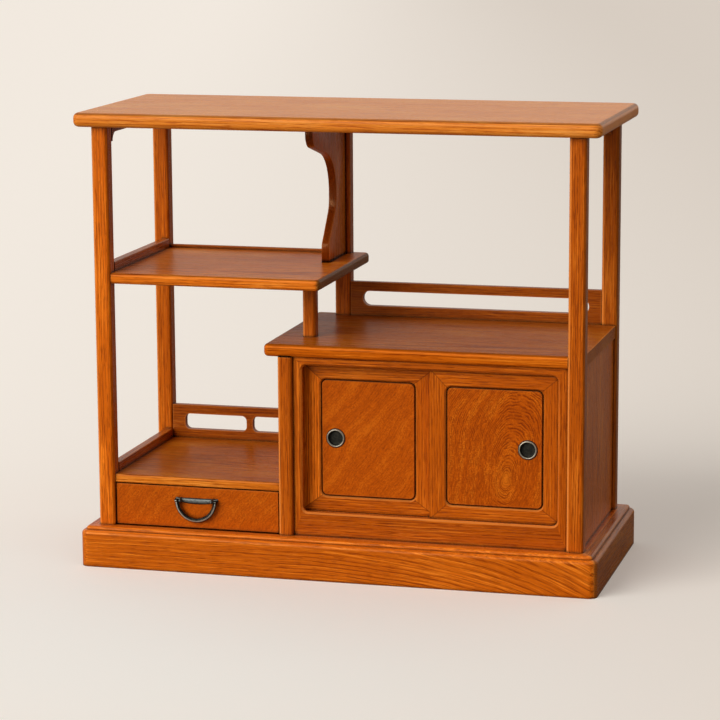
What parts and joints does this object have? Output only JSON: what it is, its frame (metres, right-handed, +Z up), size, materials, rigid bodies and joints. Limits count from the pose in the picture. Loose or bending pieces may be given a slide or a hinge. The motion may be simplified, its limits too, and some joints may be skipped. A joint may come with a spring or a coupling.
{
  "type": "japanese-style sideboard",
  "caption": "Low stepped tea shelf in zelkova with a top board on slim posts, open shelves, a cupboard with sliding doors, a drawer and a moulded plinth.",
  "frame": {"origin": "on the floor under the centre of the plinth", "axes": "+Z up, +X to the right end, -Y is the front with the drawer and doors"},
  "size_m": [0.864, 0.378, 0.75],
  "materials": {
    "zelkova_frame": "orange-brown satin lacquer, straight grain",
    "zelkova_board": "orange-brown satin lacquer, broad grain",
    "zelkova_panel": "deep orange-brown satin lacquer, figured grain",
    "inner_wood": "plain wood with a thin lacquer",
    "blackened_iron": "blackened iron, worn bright on its edges"
  },
  "bodies": {
    "cabinet": {"apron_left": "zelkova_frame", "apron_right": "zelkova_frame", "base_board": "inner_wood", "corner_blocks": "inner_wood", "cupboard_back": "inner_wood", "cupboard_floor": "inner_wood", "door_track_bottom": "inner_wood", "door_track_top": "inner_wood", "drawer_bay_back": "inner_wood", "drawer_bay_side": "inner_wood", "drawer_guides": "inner_wood", "face_frame_bottom": "zelkova_frame", "face_frame_left": "zelkova_frame", "face_frame_right": "zelkova_frame", "face_frame_top": "zelkova_frame", "lower_back_rail": "zelkova_frame", "lower_shelf": "zelkova_board", "lower_side_rail": "zelkova_frame", "middle_back_rail": "zelkova_frame", "middle_shelf": "zelkova_board", "partition": "zelkova_board", "plinth_back": "zelkova_board", "plinth_front": "zelkova_board", "plinth_left": "zelkova_board", "plinth_right": "zelkova_board", "post_back_left": "zelkova_frame", "post_back_lower": "zelkova_frame", "post_back_middle": "zelkova_frame", "post_back_right": "zelkova_frame", "post_front_left": "zelkova_frame", "post_front_middle": "zelkova_frame", "post_front_right": "zelkova_frame", "post_short": "zelkova_frame", "scroll_panel": "zelkova_frame", "side_panel_right": "zelkova_board", "top_board": "zelkova_board", "upper_back_rail": "zelkova_frame", "upper_shelf": "zelkova_board", "upper_side_rail": "zelkova_frame"},
    "left_door": {"left_door_panel": "zelkova_panel", "left_door_pull": "blackened_iron", "left_door_rail_bottom": "zelkova_frame", "left_door_rail_top": "zelkova_frame", "left_door_stile_left": "zelkova_frame", "left_door_stile_right": "zelkova_frame"},
    "right_door": {"right_door_panel": "zelkova_panel", "right_door_pull": "blackened_iron", "right_door_rail_bottom": "zelkova_frame", "right_door_rail_top": "zelkova_frame", "right_door_stile_left": "zelkova_frame", "right_door_stile_right": "zelkova_frame"},
    "drawer": {"drawer_front": "zelkova_panel", "drawer_side_left": "inner_wood", "drawer_side_right": "inner_wood", "drawer_back": "inner_wood", "drawer_bottom": "inner_wood", "drawer_pull_plate": "blackened_iron"},
    "bail": {"drawer_bail": "blackened_iron"}
  },
  "joints": [
    {"name": "left_door_slide", "type": "slide", "parent": "cabinet", "child": "left_door", "axis": [1, 0, 0], "range_m": [0, 0.205]},
    {"name": "right_door_slide", "type": "slide", "parent": "cabinet", "child": "right_door", "axis": [-1, 0, 0], "range_m": [0, 0.205]},
    {"name": "drawer_slide", "type": "slide", "parent": "cabinet", "child": "drawer", "axis": [0, -1, 0], "range_m": [0, 0.22]},
    {"name": "bail_hinge", "type": "hinge", "parent": "drawer", "child": "bail", "pos_m": [-0.23725, -0.166, 0.1155], "axis": [-1, 0, 0], "range_deg": [0, 85]}
  ]
}
